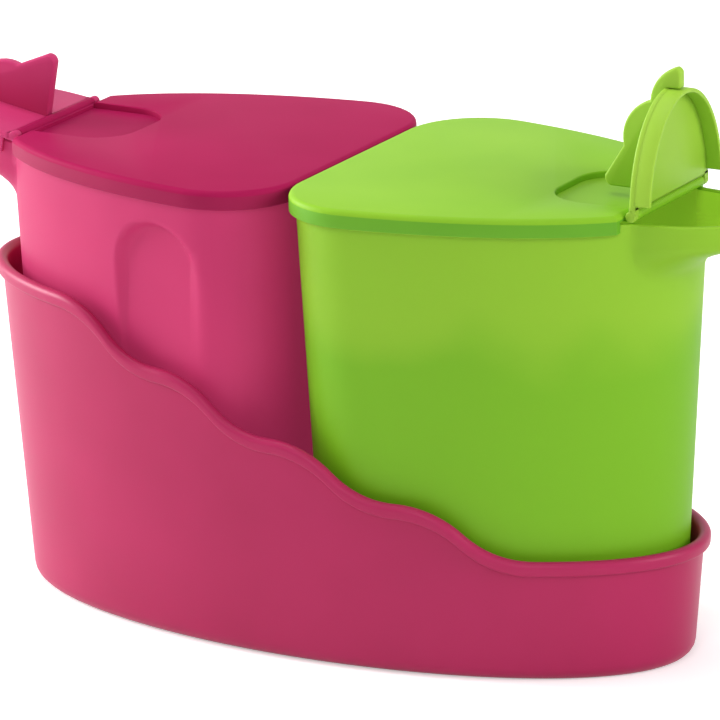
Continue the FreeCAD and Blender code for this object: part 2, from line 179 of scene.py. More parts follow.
class RingShell:
    """A closed shell drawn ring by ring: each ring is the last one extruded and moved into place."""

    def __init__(self, first: Sequence[Vector]) -> None:
        """Start from a first ring and close it with a flat face.

        Args:
            first: the points of the first ring, in order.
        """
        self.mesh = bmesh.new()
        made = bmesh.ops.create_circle(self.mesh, cap_ends=False, segments=len(first), radius=1.0)
        self.ring: list[bmesh.types.BMVert] = list(made["verts"])
        self._place(first)
        self._close()

    def _place(self, points: Sequence[Vector]) -> None:
        """Move the present ring onto its points."""
        for vert, point in zip(self.ring, points, strict=True):
            vert.co = point

    def _close(self) -> None:
        """Fill the present ring with one flat face."""
        bmesh.ops.contextual_create(self.mesh, geom=self.ring)

    def extend(self, points: Sequence[Vector]) -> list[bmesh.types.BMVert]:
        """Extrude the present ring and move the new one onto its points.

        Args:
            points: one point for each vertex of the ring.

        Returns:
            The new ring's vertices.
        """
        count = len(self.ring)
        edges = [self.mesh.edges.get((vert, self.ring[(place + 1) % count]))
                 for place, vert in enumerate(self.ring)]
        made = bmesh.ops.extrude_edge_only(self.mesh, edges=edges)
        fresh = {item for item in made["geom"] if isinstance(item, bmesh.types.BMVert)}
        self.ring = [
            next(edge.other_vert(vert) for edge in vert.link_edges if edge.other_vert(vert) in fresh)
            for vert in self.ring]
        self._place(points)
        return self.ring

    def finish(self) -> bmesh.types.BMesh:
        """Close the last ring and point every face outwards.

        Returns:
            The finished mesh.
        """
        self._close()
        bmesh.ops.recalc_face_normals(self.mesh, faces=self.mesh.faces)
        return self.mesh


@dataclass(frozen=True)
class MouldedPolypropylene:
    """Injection-moulded polypropylene: satin, a little translucent, with a fine spark-eroded grain.

    The eye sees a saturated colour with broad soft highlights, a faint cloudiness where the melt
    flowed, and in thin walls some light that comes through from the other side.
    """

    name: str
    pale: str
    deep: str
    roughness: float = 0.48
    gloss: float = 0.32
    # real grain is near 0.1 mm, drawn coarser so that it shows
    grain_mm: float = 0.7
    grain_depth_mm: float = 0.01
    cloud_mm: float = 40.0
    cloud_low: float = 0.3
    cloud_high: float = 0.7
    through: float = 0.0
    # painted glow: emission in the pale colour, which lights the surface with no lamp
    glow: float = 0.0
    scatter: float = 0.12
    scatter_mm: float = 3.0
    shade_level_mm: float = 0.0
    shade_blur_mm: float = 9.0
    shade_wave_mm: float = 45.0

    def tone(self, tree: bpy.types.NodeTree, place: bpy.types.NodeSocket) -> bpy.types.NodeSocket:
        """The share of the pale colour: clouds, or a soft change at the shade level where there is one.

        Args:
            tree: the material's node tree.
            place: the object coordinates.

        Returns:
            The socket that carries the share.
        """
        size = self.shade_wave_mm if self.shade_level_mm else self.cloud_mm
        clouds = add_node(tree, "ShaderNodeTexNoise", {
            "Vector": place, "Scale": 1 / (size * MM), "Detail": 2.0, "Roughness": 0.5}).outputs["Fac"]
        if not self.shade_level_mm:
            return add_node(tree, "ShaderNodeMapRange", {
                "Value": clouds, "From Min": self.cloud_low, "From Max": self.cloud_high}).outputs["Result"]
        height = add_node(tree, "ShaderNodeSeparateXYZ", {0: place}).outputs["Z"]
        wave = add_node(tree, "ShaderNodeMath", {
            0: clouds, 1: 4 * self.shade_blur_mm * MM, 2: height}, operation="MULTIPLY_ADD").outputs["Value"]
        middle = (self.shade_level_mm + 2 * self.shade_blur_mm) * MM
        return add_node(tree, "ShaderNodeMapRange", {
            "Value": wave, "From Min": middle - self.shade_blur_mm * MM,
            "From Max": middle + self.shade_blur_mm * MM}, interpolation_type="SMOOTHSTEP").outputs["Result"]

    def material(self) -> bpy.types.Material:
        """Build the node material.

        Returns:
            The new material.
        """
        material = bpy.data.materials.new(self.name)
        material.use_nodes = True
        tree = material.node_tree
        tree.nodes.clear()
        place = add_node(tree, "ShaderNodeTexCoord").outputs["Object"]
        tint = add_node(tree, "ShaderNodeValToRGB", {"Fac": self.tone(tree, place)})
        tint.color_ramp.elements[0].color = linear(self.deep)
        tint.color_ramp.elements[1].color = linear(self.pale)
        grain = add_node(tree, "ShaderNodeTexNoise", {
            "Vector": place, "Scale": 1 / (self.grain_mm * MM), "Detail": 2.0, "Roughness": 0.6})
        bump = add_node(tree, "ShaderNodeBump", {
            "Height": grain.outputs["Fac"], "Strength": 0.5, "Distance": self.grain_depth_mm * MM})
        # the emission is the painted glow
        shader = add_node(tree, "ShaderNodeBsdfPrincipled", {
            "Base Color": tint.outputs["Color"], "Roughness": self.roughness, "IOR": 1.49,
            "Specular IOR Level": self.gloss, "Subsurface Weight": self.scatter,
            "Subsurface Radius": (1.0, 1.0, 1.0), "Subsurface Scale": self.scatter_mm * MM,
            "Normal": bump.outputs["Normal"], "Emission Color": linear(self.pale),
            "Emission Strength": self.glow}).outputs["BSDF"]
        if self.through:
            passed = add_node(tree, "ShaderNodeBsdfTranslucent", {"Color": tint.outputs["Color"]})
            shader = add_node(tree, "ShaderNodeMixShader", {
                0: self.through, 1: shader, 2: passed.outputs["BSDF"]}).outputs["Shader"]
        add_node(tree, "ShaderNodeOutputMaterial", {"Surface": shader})
        return material


PINK_LID = MouldedPolypropylene("dull_pink_moulded_polypropylene", "#A41C50", "#9C184A", gloss=0.02)
GREEN_LID = MouldedPolypropylene("dull_green_moulded_polypropylene", "#88BA2C", "#7EB226", gloss=0.1)
# painted light: a cap is given a paler copy of the lid's colour, for the light that falls on its inner face
PINK_CAP_PAINTED_LIGHT = MouldedPolypropylene("pink_cap_painted_light", "#C2366C", "#BA3064", gloss=0.15)
GREEN_CAP_PAINTED_LIGHT = MouldedPolypropylene("green_cap_painted_light", "#98C03C", "#8EB834", gloss=0.2)
# painted shade: a skirt is given a deeper copy of the lid's colour, for the shade on its upright faces under
# the lid's edge
PINK_SKIRT_PAINTED_SHADE = MouldedPolypropylene("pink_skirt_painted_shade", "#9A1C4A", "#921846", gloss=0.1)
GREEN_SKIRT_PAINTED_SHADE = MouldedPolypropylene("green_skirt_painted_shade", "#66A424", "#5E9C20", gloss=0.2)
PINK = MouldedPolypropylene("pink_moulded_polypropylene", "#AC2356", "#A42050", roughness=0.42, gloss=0.22)
# thin walls let light through; the pink one also has a painted glow, emission that stands in for that light
# and lifts the shade between the parts, and the green one looks deeper in its lower part
PINK_WALL_PAINTED_GLOW = MouldedPolypropylene("thin_pink_polypropylene_painted_glow", "#BE386A", "#B63264", gloss=0.2,
                                 through=0.3, glow=0.42)
GREEN_WALL = MouldedPolypropylene("thin_green_moulded_polypropylene", "#9AC830", "#84BE20", through=0.3,
                                  shade_level_mm=96.0)
# painted glow: the inner faces of thin walls are given emission that stands in for the light the walls let in
PINK_INSIDE_PAINTED_GLOW = MouldedPolypropylene("pink_inside_painted_glow", "#C83C70", "#C0346A", glow=0.12)
GREEN_INSIDE_PAINTED_GLOW = MouldedPolypropylene("green_inside_painted_glow", "#A4CC38", "#8CC424", glow=0.3)


@dataclass(frozen=True)
class Plan:
    """Sizes in millimetres that the cradle, the containers, the lids and the caps share."""

    lid_top: float = 133.0
    lid_half_length: float = 108.0
    lid_half_width: float = 55.1
    lid_gap: float = 0.25
    lid_end: float = 94.8
    lid_plate: float = 2.0
    skirt: float = 1.5
    skirt_clearance: float = 0.3
    corner_radius: float = 22.0
    cradle_floor: float = 2.4
    taper_length: float = 6.3
    taper_width: float = 8.3
    hinge_reach: float = 96.8
    hinge_height: float = 132.0

    @property
    def rim(self) -> float:
        """Height of the containers' rims."""
        return self.lid_top - self.lid_plate

    @property
    def skirt_offset(self) -> float:
        """How far a container's wall stands inside the lid's outline."""
        return self.skirt + self.skirt_clearance

    def body(self, height: float) -> Point:
        """Half the length and half the width of the containers' oval.

        Args:
            height: height above the containers' feet.

        Returns:
            The two half sizes.
        """
        drop = 1 - height / (self.rim - self.cradle_floor)
        return (self.lid_half_length - self.skirt_offset - self.taper_length * drop,
                self.lid_half_width - self.skirt_offset - self.taper_width * drop)


PLAN = Plan()


@dataclass(frozen=True)
class HalfOval:
    """One half of an oval beside a flat dividing face, with rounded corners between the two."""

    half_length: float
    half_width: float
    face: float
    corner_radius: float
    face_steps: int = 6
    corner_steps: int = 14
    side_steps: int = 96
    end_steps: int = 24

    def on_oval(self, angle: float) -> tuple[Vector, Vector]:
        """Find a place on the oval.

        Args:
            angle: the oval's angle.

        Returns:
            The point there and its outward normal.
        """
        point = Vector((self.half_length * math.cos(angle), self.half_width * math.sin(angle)))
        normal = Vector((math.cos(angle) / self.half_length, math.sin(angle) / self.half_width))
        return point, normal.normalized()

    def tangent_angle(self) -> float:
        """Find where the corner's round meets the oval.

        Returns:
            The oval's angle there.
        """
        low, high = 0.0, math.pi / 2
        for _ in range(HALVINGS):
            middle = (low + high) / 2
            point, normal = self.on_oval(middle)
            if point.x - self.corner_radius * normal.x > self.face + self.corner_radius:
                low = middle
            else:
                high = middle
        return low

    def outline(self, side_stop: float, end: Callable[[float], Point]) -> list[Point]:
        """The closed outline, from the middle of the dividing face round by +Y.

        Args:
            side_stop: the oval's angle at which its side gives way to the end.
            end: the end's point for a share from 1 at the +Y side to 0 in the middle.

        Returns:
            The outline's points.
        """
        meet = self.tangent_angle()
        point, normal = self.on_oval(meet)
        centre = point - normal * self.corner_radius
        half: list[Point] = []
        for step in range(self.face_steps):
            half.append((self.face, centre.y * step / self.face_steps))
        last = math.atan2(normal.y, normal.x)
        for step in range(self.corner_steps):
            angle = math.pi + (last - math.pi) * step / self.corner_steps
            half.append((centre.x + self.corner_radius * math.cos(angle),
                         centre.y + self.corner_radius * math.sin(angle)))
        for step in range(self.side_steps):
            half.append(tuple(self.on_oval(meet + (side_stop - meet) * step / self.side_steps)[0]))
        half += [end(1 - step / self.end_steps) for step in range(self.end_steps + 1)]
        return half + [(x, -y) for x, y in reversed(half[1:-1])]


def box_mesh(mesh: bmesh.types.BMesh, low: Vector, high: Vector) -> list[bmesh.types.BMVert]:
    """Add a box between two corners and return its vertices."""
    place = Matrix.Translation((low + high) / 2) @ Matrix.Diagonal((*(high - low), 1.0))
    return bmesh.ops.create_cube(mesh, size=1.0, matrix=place)["verts"]


def rod_mesh(mesh: bmesh.types.BMesh, start: Vector, length: float, radius: float, bevel: float) -> None:
    """Add a rod along +Y with softened ends.

    Args:
        mesh: the mesh that takes the rod.
        start: the middle of the rod's first end.
        length: how long it is.
        radius: its radius.
        bevel: the radius of its softened ends.
    """
    place = Matrix.Translation(start + Vector((0, length / 2, 0))) @ Matrix.Rotation(-math.pi / 2, 4, "X")
    made = bmesh.ops.create_cone(mesh, cap_ends=True, cap_tris=False, segments=ROD_SEGMENTS,
                                 radius1=radius, radius2=radius, depth=length, matrix=place)
    ends = {edge for vert in made["verts"] for edge in vert.link_edges
            if abs(edge.verts[0].co.y - edge.verts[1].co.y) < bevel}
    bmesh.ops.bevel(mesh, geom=list(ends), offset=bevel, segments=BEVEL_STEPS, profile=0.5, affect="EDGES",
                    material=-1)


def as_object(mesh: bmesh.types.BMesh, name: str) -> bpy.types.Object:
    """Turn a bmesh into a linked object.

    Args:
        mesh: the bmesh; it is freed.
        name: the object's name.

    Returns:
        The new object.
    """
    data = bpy.data.meshes.new(name)
    mesh.to_mesh(data)
    mesh.free()
    thing = bpy.data.objects.new(name, data)
    bpy.context.scene.collection.objects.link(thing)
    return thing


def add_island(mesh: bmesh.types.BMesh, island: bmesh.types.BMesh) -> None:
    """Copy a mesh into another as a loose part.

    Args:
        mesh: the mesh that takes it.
        island: the mesh that is copied; it is freed.
    """
    data = bpy.data.meshes.new("island")
    island.to_mesh(data)
    island.free()
    mesh.from_mesh(data)
    bpy.data.meshes.remove(data)


def soften(mesh: bmesh.types.BMesh, radius: float) -> bmesh.types.BMesh:
    """Point the faces outwards and round all the sharp outer edges.

    Args:
        mesh: the mesh, which is changed.
        radius: the edges' radius.

    Returns:
        The same mesh.
    """
    bmesh.ops.recalc_face_normals(mesh, faces=mesh.faces)
    sharp = [edge for edge in mesh.edges if edge.is_convex and edge.calc_face_angle(0) > SHARP_TURN]
    bmesh.ops.bevel(mesh, geom=sharp, offset=radius, segments=BEVEL_STEPS, profile=0.5, affect="EDGES",
                    material=-1)
    return mesh


def carve(base: bmesh.types.BMesh, tools: Sequence[bmesh.types.BMesh]) -> bmesh.types.BMesh:
    """Cut closed meshes out of another.

    Args:
        base: the mesh that is cut; it is freed.
        tools: the meshes that are taken away; they are freed.

    Returns:
        A new mesh of what is left.
    """
    thing = as_object(base, "carved")
    cutters = [as_object(tool, "cutter") for tool in tools]
    for cutter in cutters:
        cut = thing.modifiers.new("cut", "BOOLEAN")
        cut.operation = "DIFFERENCE"
        cut.solver = "EXACT"
        cut.object = cutter
    left = bmesh.new()
    left.from_object(thing, bpy.context.evaluated_depsgraph_get())
    for gone in (thing, *cutters):
        bpy.data.meshes.remove(gone.data)
    return left


def finish_piece(mesh: bmesh.types.BMesh, node: str, materials: Sequence[bpy.types.Material],
                 sharp_deg: float) -> bpy.types.Object:
    """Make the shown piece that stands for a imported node.

    Args:
        mesh: the piece in millimetres; it is freed.
        node: the node's name, which is also its body's.
        materials: the piece's finishes, in the order of its faces' material numbers.
        sharp_deg: edges that turn by more than this stay sharp.

    Returns:
        The finished object.
    """
    bmesh.ops.scale(mesh, vec=(MM, MM, MM), verts=mesh.verts)
    thing = as_object(mesh, f"{node}_shell")
    thing.data.shade_smooth()
    thing.data.set_sharp_from_angle(angle=math.radians(sharp_deg))
    for material in materials:
        thing.data.materials.append(material)
    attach(thing, node)
    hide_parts(node)
    LOG.info("%s: %d faces", thing.name, len(thing.data.polygons))
    return thing


@dataclass(frozen=True)
class Cradle:
    """The oval tub whose rim steps down in waves from the left end to the right one."""

    clearance_length: float = 1.0
    clearance_width: float = 1.3
    spread_length: float = 3.2
    spread_width: float = 0.87
    wall: float = 1.9
    edge_radius: float = 4.0
    rim_high: float = 95.0
    rim_low: float = 35.5
    wave_start: float = -71.2
    wave_pitch: float = 36.35
    waves: int = 4
    lip_overhang: float = 1.8
    lip_height: float = 4.0
    lip_top_radius: float = 1.84
    lip_root_radius: float = 0.8
    sharp_deg: float = 40.0
    segments: int = 288
    wall_rows: int = 36
    arc_steps: int = 5
    settling_rounds: int = 4

    def rim(self, x: float) -> float:
        """Height of the rim over a point of the length: S-shaped steps of tangent arcs.

        Args:
            x: the place along the length.

        Returns:
            The rim's height.
        """
        drop = (self.rim_high - self.rim_low) / self.waves
        along = min(max((x - self.wave_start) / self.wave_pitch, 0.0), self.waves - 1e-9)
        step = math.floor(along)
        share = along - step
        bend = (self.wave_pitch ** 2 + drop ** 2) / (4 * drop)
        reach = (share if share < 0.5 else 1 - share) * self.wave_pitch
        fall = bend - math.sqrt(bend ** 2 - reach ** 2)
        return self.rim_high - drop * step - (fall if share < 0.5 else drop - fall)

    def ring(self, growth: float, height: Callable[[float], float]) -> list[Vector]:
        """One ring of the tub.

        Args:
            growth: how far outside the tub's outer face the ring lies.
            height: the ring's height over a place along the length.

        Returns:
            The ring's points.
        """
        points = []
        for step in range(self.segments):
            angle = 2 * math.pi * step / self.segments
            z = 0.0
            for _ in range(self.settling_rounds):
                length, width = PLAN.body(z)
                share = z / self.rim_high
                outer = self.wall + growth
                x = (length + self.clearance_length + self.spread_length * share + outer) * math.cos(angle)
                y = (width + self.clearance_width + self.spread_width * share + outer) * math.sin(angle)
                z = height(x)
            points.append(Vector((x, y, z)))
        return points

    def build(self) -> bmesh.types.BMesh:
        """Draw the tub from its underside over the lip to its floor.

        Returns:
            The tub's mesh.
        """
        radius = self.edge_radius
        shell = RingShell(self.ring(-radius, lambda x: 0.0))
        for step in range(1, self.arc_steps + 1):
            angle = math.pi / 2 * step / self.arc_steps
            shell.extend(self.ring(radius * (math.sin(angle) - 1),
                                   lambda x, a=angle: radius * (1 - math.cos(a))))
        under = self.lip_height + self.lip_root_radius
        for row in range(1, self.wall_rows):
            share = row / self.wall_rows
            shell.extend(self.ring(0.0, lambda x, s=share: radius + (self.rim(x) - under - radius) * s))
        lip = rounded([
            (0.0, -under, 0.0),
            (0.0, -self.lip_height, self.lip_root_radius),
            (self.lip_overhang, -self.lip_height, self.lip_root_radius),
            (self.lip_overhang, 0.0, self.lip_top_radius),
            (-self.wall, 0.0, self.lip_top_radius),
            (-self.wall, -under, 0.0)], self.arc_steps)
        for growth, rise in lip:
            shell.extend(self.ring(growth, lambda x, r=rise: self.rim(x) + r))
        inner = radius - self.wall
        foot = PLAN.cradle_floor + inner
        for row in range(self.wall_rows - 1, -1, -1):
            share = row / self.wall_rows
            shell.extend(self.ring(-self.wall, lambda x, s=share: foot + (self.rim(x) - under - foot) * s))
        for step in range(1, self.arc_steps + 1):
            angle = math.pi / 2 * step / self.arc_steps
            shell.extend(self.ring(-self.wall - inner * (1 - math.cos(angle)),
                                   lambda x, a=angle: foot - inner * math.sin(a)))
        return shell.finish()


@dataclass(frozen=True)
class Spout:
    """The beak at a container's end: an oval collar over a scoop that runs out to the nose."""

    reach: float = 29.5
    half_width: float = 21.2
    rim_drop: float = 3.0
    collar: float = 6.0
    scoop_depth: float = 17.0
    nose_depth: float = 2.2
    least_nose: float = 0.2
    least_reach: float = 0.05
    root_fillet: float = 4.0

    @property
    def rim(self) -> float:
        """Height of the spout's rim."""
        return PLAN.lid_top - self.rim_drop

    def reach_at(self, y: float, z: float, inset: float) -> float:
        """How far out the spout's face lies.

        Args:
            y: the place across the spout.
            z: the height.
            inset: how far inside the outer face.

        Returns:
            The face's X, or the hinge's where the spout isn't that wide or deep.
        """
        half_width = self.half_width - inset
        depth = self.scoop_depth - inset
        nose = max(self.nose_depth - inset, self.least_nose)
        below = max(self.rim - self.collar - z, 0.0)
        low, high = 0.0, 1.0
        for _ in range(HALVINGS):
            share = (low + high) / 2
            across = half_width * math.sqrt(1 - share ** 2)
            down = nose + (depth - nose) * (1 - share) ** 2
            if (y / across) ** 2 + (below / down) ** 2 < 1:
                low = share
            else:
                high = share
        return PLAN.hinge_reach + (self.reach - inset) * low


@dataclass(frozen=True)
class Grip:
    """The sunken thumb grip in a container's side: an upright arch whose flat back runs out downwards."""

    place: float = 36.0
    half_width: float = 13.5
    top: float = 120.0
    depth: float = 3.5
    edge_radius: float = 1.1

    def press(self, vert: bmesh.types.BMVert, inset: float) -> None:
        """Push a wall's vertex onto the grip's back where the arch covers it.

        Args:
            vert: the vertex.
            inset: 0 for the outer face, the wall's thickness for the inner one.
        """
        length, width = PLAN.body(self.top - PLAN.cradle_floor)
        share = self.place / length
        slope = math.atan(width / length * share / math.sqrt(1 - share ** 2))
        normal = Vector((math.sin(slope), math.cos(slope), 0.0))
        across = Vector((math.cos(slope), -math.sin(slope), 0.0))
        back = Vector((self.place, width * math.sqrt(1 - share ** 2) - self.depth, 0.0))
        proud = (vert.co - back).dot(normal) + inset
        if vert.co.y < 0 or proud < 0:
            return
        centre = self.top - self.half_width
        beside = (vert.co - back).dot(across)
        outside = math.hypot(beside, max(vert.co.z - centre, 0.0)) - self.half_width - inset
        vert.co -= normal * (proud * smooth_step(self.edge_radius, -self.edge_radius, outside))


@dataclass(frozen=True)
class Container:
    """A drafted half-oval cup with a spout at its end and a grip in its side."""

    wall: float = 1.8
    base: float = 2.0
    foot_radius: float = 7.0
    face_draft_deg: float = 1.3
    rim_radius: float = 0.6
    rim_step: float = 2.0
    rows: int = 112
    arc_steps: int = 5
    sharp_deg: float = 80.0
    spout: Spout = Spout()
    grip: Grip = Grip()

    def ring(self, inset: float, draw_in: float, height: Callable[[float], float]) -> list[Vector]:
        """One ring of the cup.

        Args:
            inset: how far inside the outer face the ring's wall lies.
            draw_in: how much further in the foot's round takes it.
            height: the ring's height for the place that its rim has along the length.

        Returns:
            The ring's points.
        """
        points = []
        level = height(0.0)
        length, width = (half - inset - draw_in for half in PLAN.body(level - PLAN.cradle_floor))
        lean = (PLAN.rim - level) * math.tan(math.radians(self.face_draft_deg))
        shape = HalfOval(length, width, PLAN.lid_gap + PLAN.skirt_offset + inset + draw_in + lean,
                         PLAN.corner_radius - PLAN.skirt_offset - inset - draw_in)
        half_width = self.spout.half_width - inset

        def end(share: float) -> Point:
            """The end's point, on the wall or on the spout where that stands out further.

            Args:
                share: 1 at the +Y side, 0 in the middle.

            Returns:
                The point.
            """
            y = half_width * math.sin(share * math.pi / 2)
            wall = length * math.sqrt(1 - (y / width) ** 2)
            beak = self.spout.reach_at(min(y, half_width - NEAR), height(PLAN.hinge_reach), inset)
            if beak <= PLAN.hinge_reach + self.spout.least_reach:
                beak = 0.0
            return soft_max(wall, beak, self.spout.root_fillet), y

        for x, y in shape.outline(math.asin(half_width / width), end):
            points.append(Vector((x, y, height(x))))
        return points

    def top(self, x: float) -> float:
        """Height of the rim over a place along the length: a little lower at the spout."""
        step = smooth_step(PLAN.lid_end - self.rim_step, PLAN.lid_end, x)
        return PLAN.rim + (self.spout.rim - PLAN.rim) * step

    def build(self) -> bmesh.types.BMesh:
        """Draw the cup from its underside over the rim to its floor, then press the grip into its wall.

        Returns:
            The cup's mesh; its inner faces have material number 1.
        """
        foot = PLAN.cradle_floor
        radius = self.foot_radius
        shell = RingShell(self.ring(0.0, radius, lambda x: foot))
        walls: list[tuple[list[bmesh.types.BMVert], float]] = []
        for step in range(1, self.arc_steps + 1):
            angle = math.pi / 2 * step / self.arc_steps
            shell.extend(self.ring(0.0, radius * (1 - math.sin(angle)),
                                   lambda x, a=angle: foot + radius * (1 - math.cos(a))))
        for row in range(1, self.rows + 1):
            share = row / self.rows
            ring = self.ring(0.0, 0.0, lambda x, s=share: foot + radius + (
                self.top(x) - self.rim_radius - foot - radius) * s)
            walls.append((shell.extend(ring), 0.0))
        lip = rounded([
            (0.0, -self.rim_radius, 0.0),
            (0.0, 0.0, self.rim_radius),
            (self.wall, 0.0, self.rim_radius),
            (self.wall, -self.rim_radius, 0.0)], self.arc_steps)
        for inset, rise in lip[1:]:
            shell.extend(self.ring(inset, 0.0, lambda x, r=rise: self.top(x) + r))
        inner = radius - self.base
        floor = foot + self.base
        for row in range(self.rows - 1, -1, -1):
            share = row / self.rows
            ring = self.ring(self.wall, 0.0, lambda x, s=share: floor + inner + (
                self.top(x) - self.rim_radius - floor - inner) * s)
            walls.append((shell.extend(ring), self.wall))
        for step in range(1, self.arc_steps + 1):
            angle = math.pi / 2 * step / self.arc_steps
            shell.extend(self.ring(self.wall, inner * (1 - math.cos(angle)),
                                   lambda x, a=angle: floor + inner * (1 - math.sin(a))))
        for ring, inset in walls:
            for vert in ring:
                self.grip.press(vert, inset)
            # the inner faces take the finish with a painted glow
            if inset:
                for face in {face for vert in ring for face in vert.link_faces}:
                    face.material_index = 1
        return shell.finish()


@dataclass(frozen=True)
class Lid:
    """A press-on lid with a skirt, a thumb well and a hinge barrel at its outer end."""

    skirt_height: float = 5.3
    edge_radius: float = 1.5
    skirt_edge: float = 0.4
    well_length: float = 27.8
    well_half_width: float = 17.5
    well_corner_radius: float = 12.0
    well_depth: float = 1.8
    well_floor: float = 1.5
    well_edge: float = 0.5
    barrel_radius: float = 1.5
    barrel_half_length: float = 20.0
    barrel_root: float = 0.5
    barrel_crown: float = 0.2
    barrel_bevel: float = 0.3
    well_overshoot: float = 5.0
    well_overlap: float = 0.1
    hollow_overshoot: float = 3.0
    hollow_drop: float = 1.0
    sharp_deg: float = 40.0
    arc_steps: int = 5
    end_steps: int = 4
    corner_steps: int = 14

    def ring(self, inset: float, z: float, end: float) -> list[Vector]:
        """One ring of the lid.

        Args:
            inset: how far inside the lid's outline the ring lies.
            z: its height.
            end: the X of its straight end.

        Returns:
            The ring's points.
        """
        shape = HalfOval(PLAN.lid_half_length - inset, PLAN.lid_half_width - inset, PLAN.lid_gap + inset,
                         PLAN.corner_radius - inset, end_steps=self.end_steps)
        stop = math.acos(end / shape.half_length)
        last = shape.on_oval(stop)[0]
        return [Vector((x, y, z)) for x, y in shape.outline(stop, lambda share: (end, last.y * share))]

    def block(self) -> bmesh.types.BMesh:
        """Draw the lid as a full block with a rounded top edge.

        Returns:
            The block's mesh.
        """
        foot = PLAN.lid_top - self.skirt_height
        profile = rounded([
            (self.skirt_edge, foot, 0.0),
            (0.0, foot, self.skirt_edge * 0.99),
            (0.0, PLAN.lid_top, self.edge_radius),
            (self.edge_radius, PLAN.lid_top, 0.0)], self.arc_steps)
        shell = RingShell(self.ring(*profile[0], PLAN.lid_end - profile[0][0]))
        for inset, z in profile[1:-1]:
            shell.extend(self.ring(inset, z, PLAN.lid_end - inset))
        return shell.finish()

    def hollow(self) -> bmesh.types.BMesh:
        """Draw what the skirt encloses, open at the lid's end.

        Returns:
            The mesh to cut away.
        """
        beyond = PLAN.lid_end + self.hollow_overshoot
        foot = PLAN.lid_top - self.skirt_height - self.hollow_drop
        shell = RingShell(self.ring(PLAN.skirt, foot, beyond))
        shell.extend(self.ring(PLAN.skirt, PLAN.rim, beyond))
        return shell.finish()

    def pocket(self, growth: float, low: float, high: float, end: float) -> bmesh.types.BMesh:
        """A block with rounded inner corners.

        Args:
            growth: how much wider than the thumb well it is.
            low: its lower height.
            high: its upper height.
            end: its X at the lid's end.

        Returns:
            The block's mesh.
        """
        mesh = bmesh.new()
        inner = PLAN.lid_end - self.well_length - growth
        half = self.well_half_width + growth
        box_mesh(mesh, Vector((inner, -half, low)), Vector((end, half, high)))
        corners = [edge for edge in mesh.edges
                   if all(abs(vert.co.x - inner) < NEAR for vert in edge.verts)
                   and abs(edge.verts[0].co.y - edge.verts[1].co.y) < NEAR]
        bmesh.ops.bevel(mesh, geom=corners, offset=self.well_corner_radius + growth,
                        segments=self.corner_steps, profile=0.5, affect="EDGES", material=-1)
        return mesh

    def build(self) -> bmesh.types.BMesh:
        """Cut the hollow and the well from the block, soften the well's rim and add the hinge barrel.

        Returns:
            The lid's mesh; its skirt's faces have material number 1.
        """
        floor = PLAN.lid_top - self.well_depth
        over = self.well_overshoot
        well = self.pocket(0.0, floor, PLAN.lid_top + over, PLAN.lid_end + over)
        mesh = carve(self.block(), [self.hollow(), well])
        # painted shade: the skirt's upright faces below the top edge take the deeper skirt finish
        for face in mesh.faces:
            low = face.calc_center_median().z < PLAN.lid_top - self.edge_radius
            face.material_index = int(low and abs(face.normal.z) < UPRIGHT)
        inner = PLAN.lid_end - self.well_length
        rim = [edge for edge in mesh.edges if len(edge.link_faces) == 2
               and all(abs(vert.co.z - PLAN.lid_top) < NEAR and vert.co.x > inner - NEAR
                       and abs(vert.co.y) < self.well_half_width + NEAR for vert in edge.verts)
               and min(abs(face.normal.z) for face in edge.link_faces) < UPRIGHT]
        bmesh.ops.bevel(mesh, geom=rim, offset=self.well_edge, segments=BEVEL_STEPS, profile=0.5,
                        affect="EDGES", material=-1)
        add_island(mesh, self.pocket(self.well_floor, floor - self.well_floor, floor - self.well_overlap,
                                     PLAN.lid_end - self.well_overlap))
        half, height = self.barrel_half_length, PLAN.hinge_height
        box_mesh(mesh, Vector((PLAN.lid_end - self.barrel_root, -half, height - self.barrel_radius)),
                 Vector((PLAN.hinge_reach, half, height + self.barrel_crown)))
        rod_mesh(mesh, Vector((PLAN.hinge_reach, -half, height)), 2 * half, self.barrel_radius,
                 self.barrel_bevel)
        return mesh


